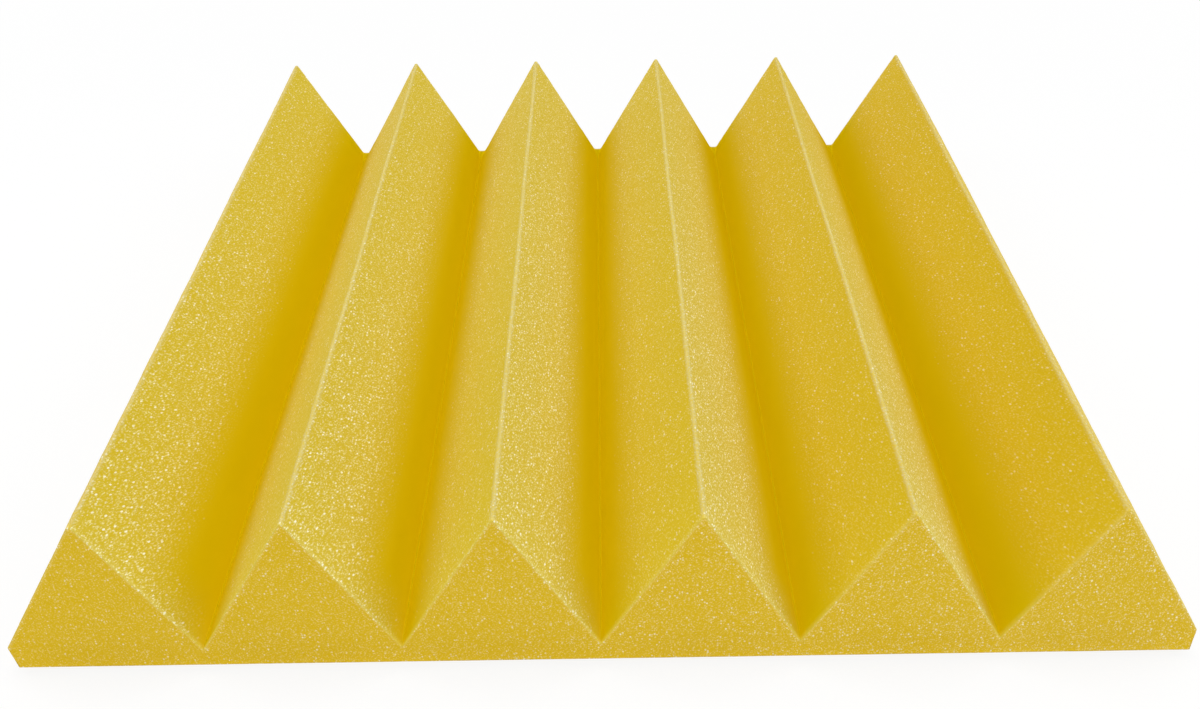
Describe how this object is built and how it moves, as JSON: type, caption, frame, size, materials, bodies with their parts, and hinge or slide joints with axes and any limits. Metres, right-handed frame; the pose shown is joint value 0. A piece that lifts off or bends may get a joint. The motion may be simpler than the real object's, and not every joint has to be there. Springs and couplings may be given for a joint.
{
  "type": "wedge acoustic foam panel",
  "caption": "Square wedge-profile acoustic foam tile with parallel triangular ridges, and adhesive pads with release liners on its flat back for fixing it to a wall.",
  "frame": {"origin": "under the middle of the tile, on the plane of the release liners' outer faces, which is the plane the tile lies on or is stuck to", "axes": "+X across the ridges, +Y along the ridges from the front end to the back end, +Z out of the back through the ridges' crests"},
  "size_m": [0.3048, 0.3048, 0.0484],
  "materials": {
    "foam": "matte",
    "foam_tape": "matte",
    "liner_paper": "satin"
  },
  "bodies": {
    "root": {"foam_panel": "foam", "adhesive_pad_front_left": "foam_tape", "adhesive_pad_front_right": "foam_tape", "adhesive_pad_back_left": "foam_tape", "adhesive_pad_back_right": "foam_tape", "adhesive_pad_centre": "foam_tape", "release_liner_front_left": "liner_paper", "release_liner_front_right": "liner_paper", "release_liner_back_left": "liner_paper", "release_liner_back_right": "liner_paper", "release_liner_centre": "liner_paper"}
  },
  "joints": []
}
